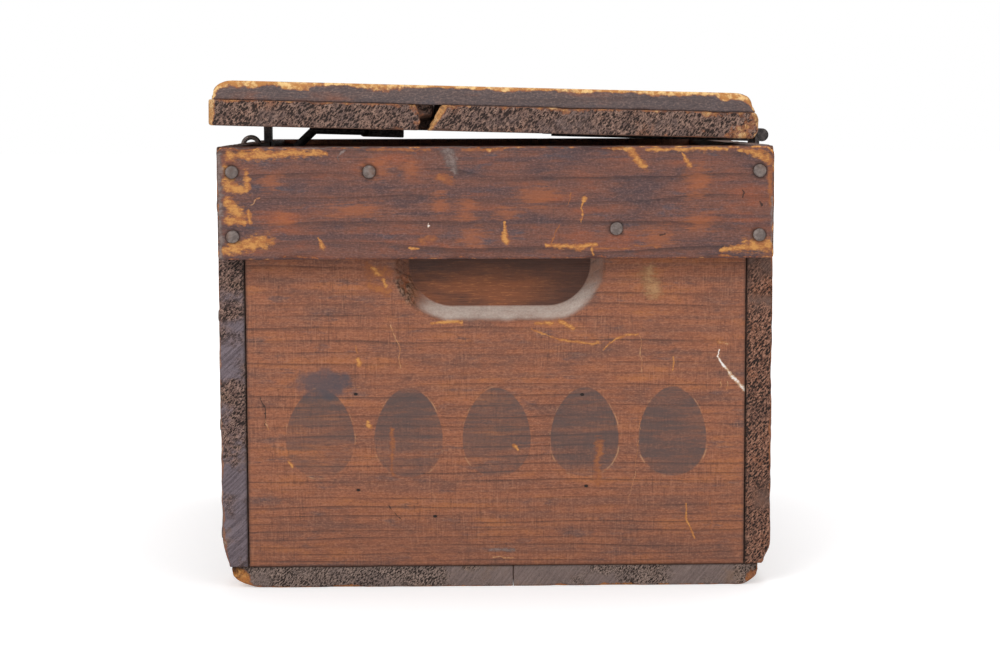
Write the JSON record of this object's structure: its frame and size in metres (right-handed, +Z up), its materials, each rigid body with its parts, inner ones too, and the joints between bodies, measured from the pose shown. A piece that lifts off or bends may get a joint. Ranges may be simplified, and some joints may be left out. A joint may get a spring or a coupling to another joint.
{
  "type": "wooden egg crate",
  "caption": "Nailed wooden egg crate with scooped hand pockets under lifting battens, end-grain sides and floor, and a cleated board lid on strap hinges, held ajar by an iron stop.",
  "frame": {"origin": "middle of the flat underside, which rests on the floor", "axes": "+X to the right across the front end, +Y from the front end to the rear end, +Z up"},
  "size_m": [0.3492, 0.388, 0.3106],
  "materials": {
    "panel_wood": "worn, stained, saw-marked",
    "batten_wood": "dark, worn at the edges",
    "board_wood": "weathered, dark end grain",
    "nail_iron": "dull rusted",
    "iron": "black, lightly rusted"
  },
  "bodies": {
    "crate": {"front_end_panel": "panel_wood", "rear_end_panel": "panel_wood", "front_batten": "batten_wood", "rear_batten": "batten_wood", "left_side_board": "board_wood", "right_side_board": "board_wood", "left_bottom_board": "board_wood", "right_bottom_board": "board_wood", "front_batten_nails": "nail_iron", "rear_batten_nails": "nail_iron", "left_side_nails": "nail_iron", "right_side_nails": "nail_iron", "floor_nails": "nail_iron", "front_hinge_leaf": "iron", "rear_hinge_leaf": "iron", "front_hinge_pin": "iron", "rear_hinge_pin": "iron", "hinge_leaf_screws": "iron", "lid_stop": "iron", "lid_stop_screws": "iron", "catch_eye": "iron"},
    "lid": {"left_lid_board": "board_wood", "right_lid_board": "board_wood", "front_lid_cleat": "batten_wood", "rear_lid_cleat": "batten_wood", "front_cleat_nails": "nail_iron", "rear_cleat_nails": "nail_iron", "front_hinge_strap": "iron", "rear_hinge_strap": "iron", "hinge_strap_screws": "iron", "hasp_keeper": "iron", "hasp_keeper_screws": "iron"},
    "hasp": {"hasp_wire": "iron"}
  },
  "joints": [
    {"name": "lid_hinge", "type": "hinge", "parent": "crate", "child": "lid", "pos_m": [0.1732, 0, 0.2762], "axis": [0, 1, 0], "range_deg": [0, 200]},
    {"name": "hasp_swing", "type": "hinge", "parent": "lid", "child": "hasp", "pos_m": [-0.08584, 0, 0.27827], "axis": [0, -1, 0], "range_deg": [0, 70]}
  ]
}
